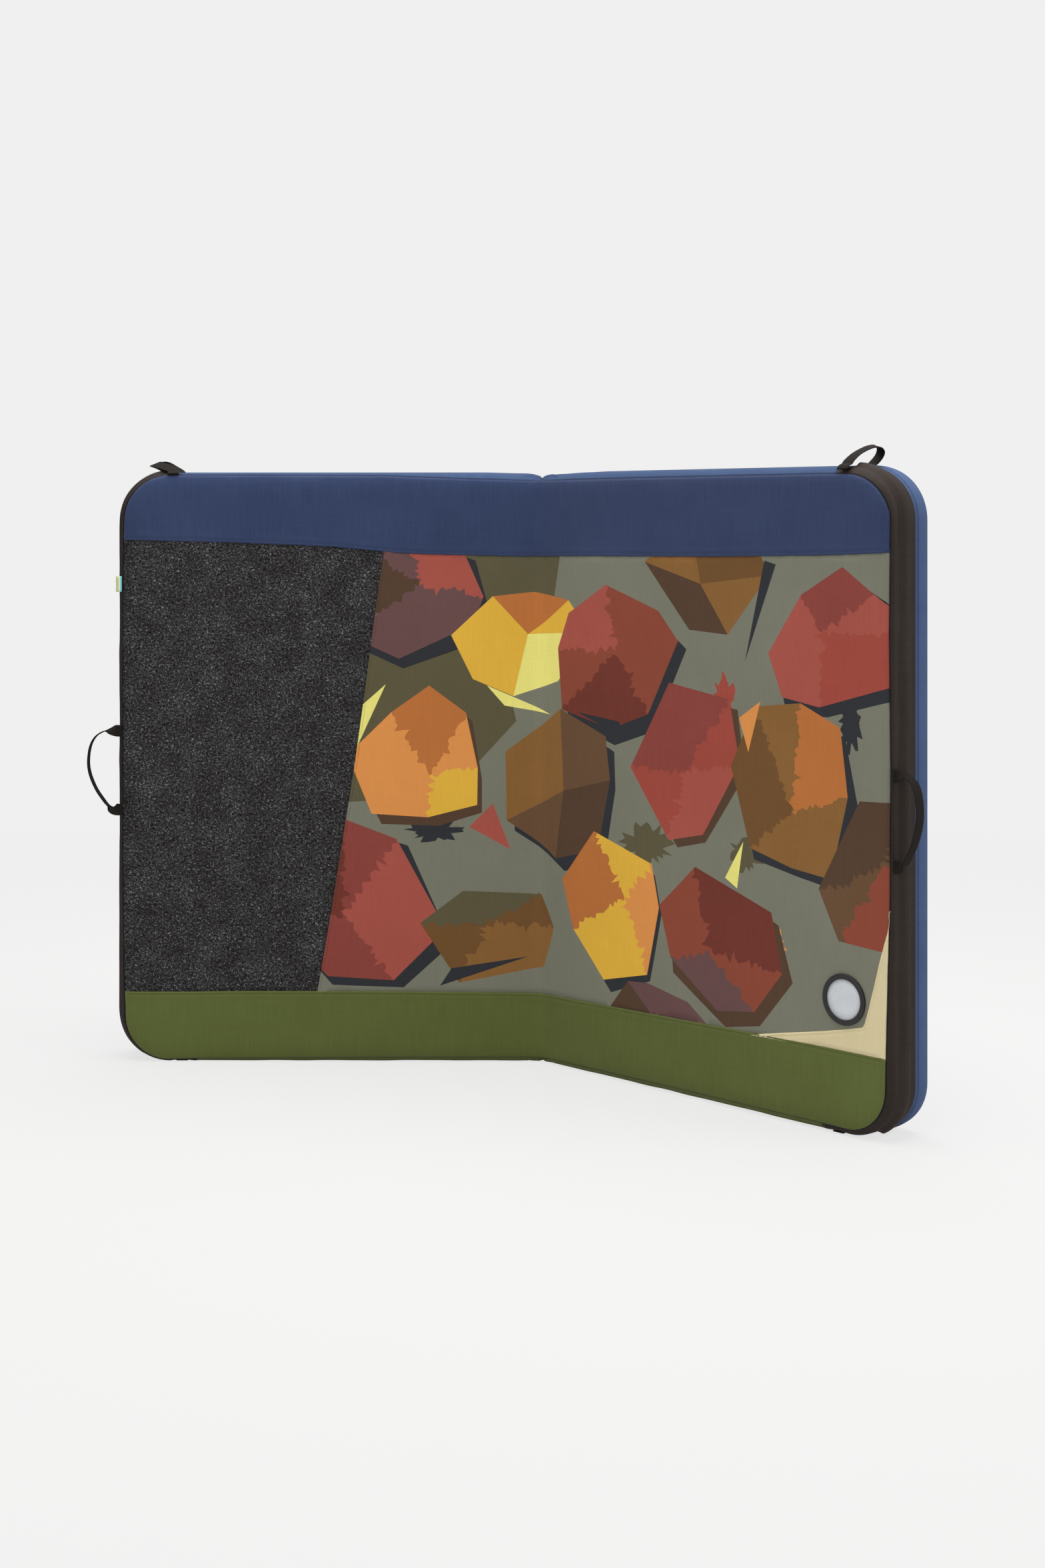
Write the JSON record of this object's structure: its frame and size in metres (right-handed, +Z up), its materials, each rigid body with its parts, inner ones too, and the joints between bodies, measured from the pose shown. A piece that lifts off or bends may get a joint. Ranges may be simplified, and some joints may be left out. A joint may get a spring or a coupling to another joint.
{
  "type": "folding climbing crash pad",
  "caption": "Two foam landing slabs in sewn cloth covers, hinged along one edge, with carrying loops and shoulder straps; it folds shut like a book.",
  "frame": {"origin": "on the floor under the middle of the outer box, with the pad standing on its long edge and folded 44 degrees forward from flat", "axes": "+X along the left half towards the fold, +Y from the landing side to the ground side of the left half, +Z up"},
  "size_m": [1.34, 0.6832, 1.0353],
  "materials": {
    "blue_cloth": "matt woven",
    "black_cloth": "matt woven",
    "green_cloth": "matt woven",
    "carpet": "needle felt",
    "printed_canvas": "matt canvas",
    "cream_cloth": "matt canvas",
    "webbing": "woven",
    "black_rubber": "satin",
    "pale_rubber": "matt",
    "firm_foam": "closed cell",
    "soft_foam": "open cell",
    "zip_teeth": "moulded",
    "zip_metal": "satin",
    "buckle_plastic": "moulded",
    "woven_tab": "woven"
  },
  "bodies": {
    "left_half": {"left_firm_foam": "firm_foam", "left_soft_foam": "soft_foam", "left_back_cover": "blue_cloth", "left_top_wall": "blue_cloth", "left_end_gusset": "black_cloth", "left_bottom_wall": "green_cloth", "left_hinge_wall": "blue_cloth", "left_top_band": "blue_cloth", "left_bottom_band": "green_cloth", "left_print_panel": "printed_canvas", "left_zip_chain": "zip_teeth", "left_zip_flap": "black_cloth", "left_end_handle": "webbing", "left_top_handle": "webbing", "left_bottom_handle": "webbing", "carpet_panel": "carpet", "woven_label": "woven_tab", "fold_bead": "printed_canvas", "inner_shoulder_pad": "blue_cloth", "inner_strap_web": "webbing", "inner_ladder_lock": "buckle_plastic", "outer_shoulder_pad": "blue_cloth", "outer_strap_web": "webbing", "outer_ladder_lock": "buckle_plastic", "haul_loop": "webbing"},
    "right_half": {"right_firm_foam": "firm_foam", "right_soft_foam": "soft_foam", "right_back_cover": "blue_cloth", "right_top_wall": "blue_cloth", "right_end_gusset": "black_cloth", "right_bottom_wall": "green_cloth", "right_hinge_wall": "blue_cloth", "right_top_band": "blue_cloth", "right_bottom_band": "green_cloth", "right_print_panel": "printed_canvas", "right_zip_chain": "zip_teeth", "right_zip_flap": "black_cloth", "right_end_handle": "webbing", "right_top_handle": "webbing", "right_bottom_handle": "webbing", "corner_patch": "cream_cloth", "badge_rim": "black_rubber", "badge_disc": "pale_rubber"},
    "left_slider": {"left_zip_slider": "zip_metal", "left_zip_pull": "webbing"},
    "right_slider": {"right_zip_slider": "zip_metal", "right_zip_pull": "webbing"}
  },
  "joints": [
    {"name": "fold", "type": "hinge", "parent": "left_half", "child": "right_half", "pos_m": [0.08759, 0.18016, 0], "axis": [0, 0, 1], "range_deg": [-136, 44]},
    {"name": "left_zip", "type": "slide", "parent": "left_half", "child": "left_slider", "axis": [0, 0, 1], "range_m": [0, 0.8]},
    {"name": "right_zip", "type": "slide", "parent": "right_half", "child": "right_slider", "axis": [0, 0, 1], "range_m": [0, 0.8]}
  ]
}
